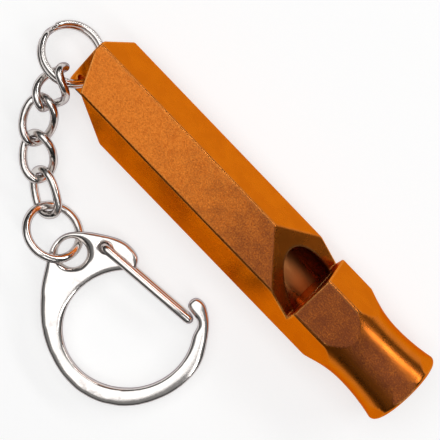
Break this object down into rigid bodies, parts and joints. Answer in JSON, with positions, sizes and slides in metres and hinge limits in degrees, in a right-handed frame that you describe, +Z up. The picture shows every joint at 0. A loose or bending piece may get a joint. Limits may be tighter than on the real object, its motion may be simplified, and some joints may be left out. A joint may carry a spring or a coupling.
{
  "type": "training whistle",
  "caption": "Hexagonal pealess aluminium whistle with a ramped sound window, a split ring, a short curb chain, a jump ring and a snap clip with a spring-wire gate.",
  "frame": {"origin": "middle of the whistle's underside flat, on the surface that it lies on", "axes": "+X along the whistle from its ring end to its mouth, +Z up out of the top flat, the clip lies towards -Y"},
  "size_m": [0.0733, 0.0415, 0.012],
  "materials": {
    "anodised_aluminium": "satin orange anodising, finely blasted on the top face",
    "anodised_plug": "satin orange anodising",
    "ring_wire": "bright nickel-plated steel wire",
    "chain_wire": "bright nickel-plated steel wire",
    "plated_casting": "bright nickel-plated zinc casting",
    "gate_wire": "bright nickel-plated spring wire"
  },
  "bodies": {
    "whistle": {"whistle_body": "anodised_aluminium", "windway_plug": "anodised_plug"},
    "split_ring": {"split_ring": "ring_wire"},
    "link_1": {"chain_link_1": "chain_wire"},
    "link_2": {"chain_link_2": "chain_wire"},
    "link_3": {"chain_link_3": "chain_wire"},
    "link_4": {"chain_link_4": "chain_wire"},
    "jump_ring": {"jump_ring": "ring_wire"},
    "clip": {"clip_body": "plated_casting"},
    "gate": {"clip_gate": "gate_wire"}
  },
  "joints": [
    {"name": "split_ring_swing", "type": "hinge", "parent": "whistle", "child": "split_ring", "pos_m": [-0.03065, -0.00118, 0.00356], "axis": [0, 0.866, -0.5], "range_deg": [-40, 30]},
    {"name": "link_1_swing", "type": "hinge", "parent": "split_ring", "child": "link_1", "pos_m": [-0.03408, -0.00475, 0.00563], "axis": [0.9686, 0.2153, -0.1243], "range_deg": [-10, 10]},
    {"name": "link_2_swing", "type": "hinge", "parent": "link_1", "child": "link_2", "pos_m": [-0.03245, -0.00916, 0.00411], "axis": [0.1524, 0.2946, -0.9434], "range_deg": [-4, 20]},
    {"name": "link_3_swing", "type": "hinge", "parent": "link_2", "child": "link_3", "pos_m": [-0.02994, -0.01375, 0.00341], "axis": [0.4714, 0.4572, -0.7542], "range_deg": [-4, 30]},
    {"name": "link_4_swing", "type": "hinge", "parent": "link_3", "child": "link_4", "pos_m": [-0.02549, -0.01687, 0.00249], "axis": [0.3904, 0.6426, -0.6593], "range_deg": [-4, 30]},
    {"name": "jump_ring_swing", "type": "hinge", "parent": "link_4", "child": "jump_ring", "pos_m": [-0.0207, -0.0195, 0.00195], "axis": [0.4487, 0.6618, 0.6006], "range_deg": [-4, 20]},
    {"name": "clip_swing", "type": "hinge", "parent": "jump_ring", "child": "clip", "pos_m": [-0.01455, -0.02086, 0.00319], "axis": [0.0175, 0.7985, -0.6017], "range_deg": [-5, 10]},
    {"name": "gate_swing", "type": "hinge", "parent": "clip", "child": "gate", "pos_m": [-0.01196, -0.0169, 0.003], "axis": [-0.0384, 0, -0.9993], "range_deg": [0, 35], "stiffness_Nm_per_rad": 0.04, "springref_deg": -5.73}
  ]
}
